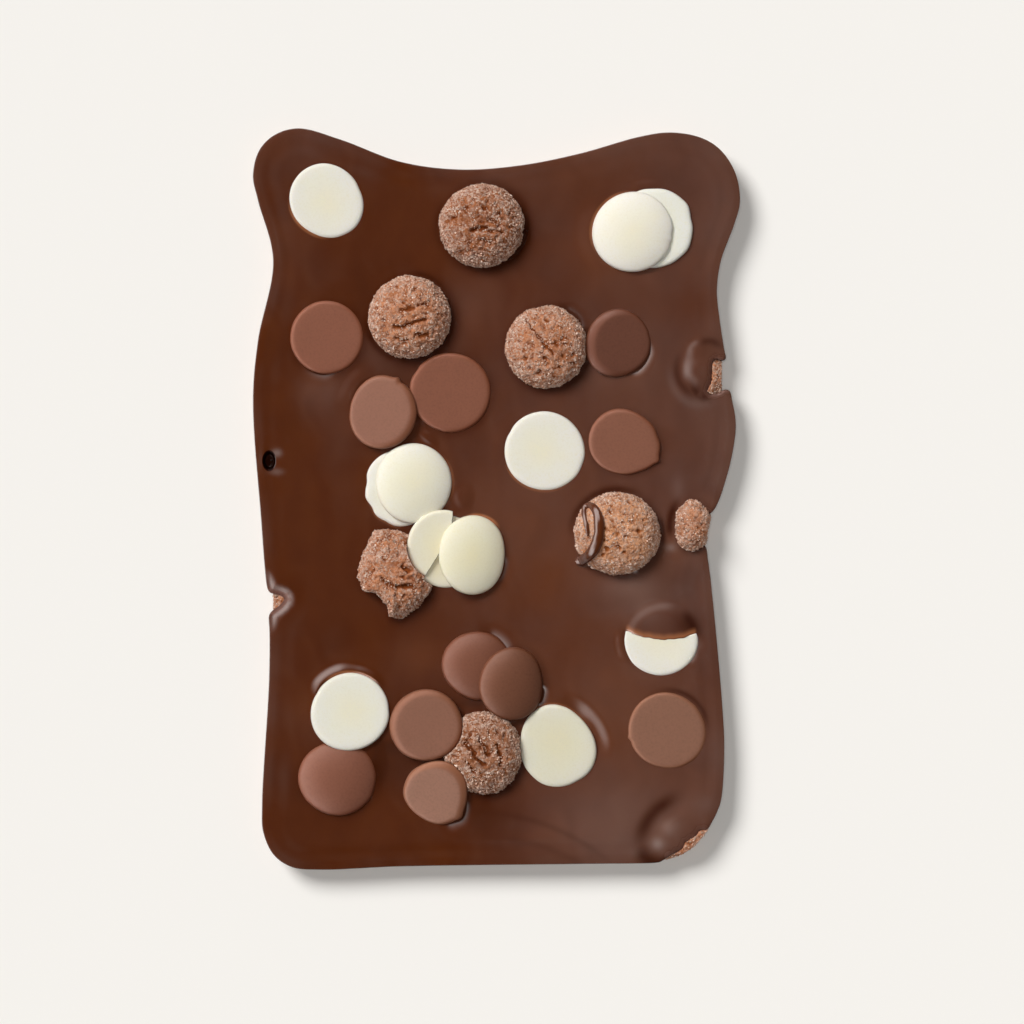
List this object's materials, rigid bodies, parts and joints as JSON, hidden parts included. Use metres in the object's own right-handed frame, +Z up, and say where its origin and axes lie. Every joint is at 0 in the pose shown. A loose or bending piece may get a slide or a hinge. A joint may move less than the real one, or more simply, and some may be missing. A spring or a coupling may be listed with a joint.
{
  "type": "chocolate slab",
  "caption": "Thin wavy-edged slab of dark chocolate set with white and milk chocolate buttons and sugared cocoa biscuit balls, flat underneath.",
  "frame": {"origin": "on the flat underside, below the middle of the slab's bounding box", "axes": "+Y along the slab's length, to the end with the two lobes; +X across it, to the right in the picture; +Z up, out of the decorated face"},
  "size_m": [0.1184, 0.1802, 0.0143],
  "materials": {
    "dark_chocolate": "satin cast chocolate",
    "white_chocolate": "smooth matt",
    "milk_chocolate": "smooth matt",
    "biscuit": "rough, dusted with sugar"
  },
  "bodies": {
    "root": {"chocolate_slab": "dark_chocolate", "biscuit_top": "biscuit", "biscuit_upper_left": "biscuit", "biscuit_upper_right": "biscuit", "biscuit_drizzled": "biscuit", "biscuit_at_right_edge": "biscuit", "biscuit_broken": "biscuit", "biscuit_bottom": "biscuit", "biscuit_in_right_notch": "biscuit", "biscuit_in_left_notch": "biscuit", "biscuit_in_corner": "biscuit", "white_button_top_left": "white_chocolate", "white_button_top_right_back": "white_chocolate", "white_button_top_right_front": "white_chocolate", "milk_button_left": "milk_chocolate", "milk_button_leaning_right": "milk_chocolate", "milk_button_middle": "milk_chocolate", "white_button_cluster_back": "white_chocolate", "white_button_cluster_front": "white_chocolate", "milk_button_leaning_left": "milk_chocolate", "milk_button_right": "milk_chocolate", "white_button_centre": "white_chocolate", "white_button_broken_lower": "white_chocolate", "white_button_broken_upper": "white_chocolate", "white_button_tilted": "white_chocolate", "white_button_half_coated": "white_chocolate", "white_button_bottom_right": "white_chocolate", "milk_button_bottom_right": "milk_chocolate", "milk_button_low_left": "milk_chocolate", "white_button_bottom_left": "white_chocolate", "milk_button_pair_back": "milk_chocolate", "milk_button_pointed": "milk_chocolate", "milk_button_on_biscuit": "milk_chocolate", "milk_button_pair_front": "milk_chocolate"}
  },
  "joints": []
}
